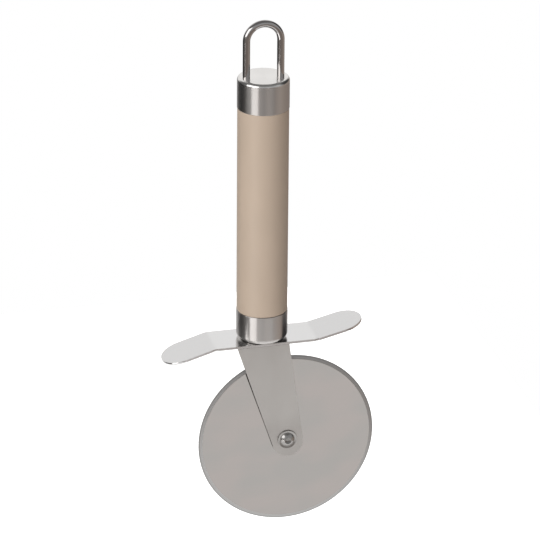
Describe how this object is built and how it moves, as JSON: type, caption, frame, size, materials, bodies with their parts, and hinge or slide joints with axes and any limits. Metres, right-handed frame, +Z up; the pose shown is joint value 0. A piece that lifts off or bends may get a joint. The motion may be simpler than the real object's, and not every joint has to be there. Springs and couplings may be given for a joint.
{
  "type": "pizza cutter",
  "caption": "Pizza cutter: a round capped handle with a wire hanging loop, a bent finger guard and a thin wheel that spins on a rivet at the end of a leaning arm.",
  "frame": {"origin": "where a hook bears, at the inside top of the hanging loop, on the handle's centre line", "axes": "+Z runs up the handle's centre line, X lies in the plane of the wheel and +X is the side that the arm leans to, -Y is the front, where the arm and the rivet's dome are"},
  "size_m": [0.0845, 0.0198, 0.2081],
  "materials": {
    "polished_wire": "polished stainless steel wire",
    "inner_steel": "plain machined steel, hidden inside",
    "satin_steel": "drawn stainless steel, satin polished",
    "grip_plastic": "warm beige moulded plastic with a smooth satin surface",
    "guard_steel": "polished stainless steel sheet",
    "arm_steel": "fine satin stainless steel sheet",
    "rivet_steel": "polished steel",
    "spacer_plastic": "natural white plastic",
    "blade_steel": "fine satin stainless steel with a ground edge"
  },
  "bodies": {
    "handle": {"hang_loop": "polished_wire", "loop_plate": "inner_steel", "top_cap": "satin_steel", "grip": "grip_plastic", "collar": "satin_steel", "tie_rod": "inner_steel", "finger_guard": "guard_steel", "wheel_arm": "arm_steel", "axle_rivet": "rivet_steel", "front_washer": "rivet_steel", "front_spacer": "spacer_plastic", "rear_spacer": "spacer_plastic"},
    "wheel": {"cutting_wheel": "blade_steel"}
  },
  "joints": [
    {"name": "wheel_spin", "type": "hinge", "parent": "handle", "child": "wheel", "pos_m": [0.00998, 0, -0.1703], "axis": [0, 1, 0], "continuous": true}
  ]
}
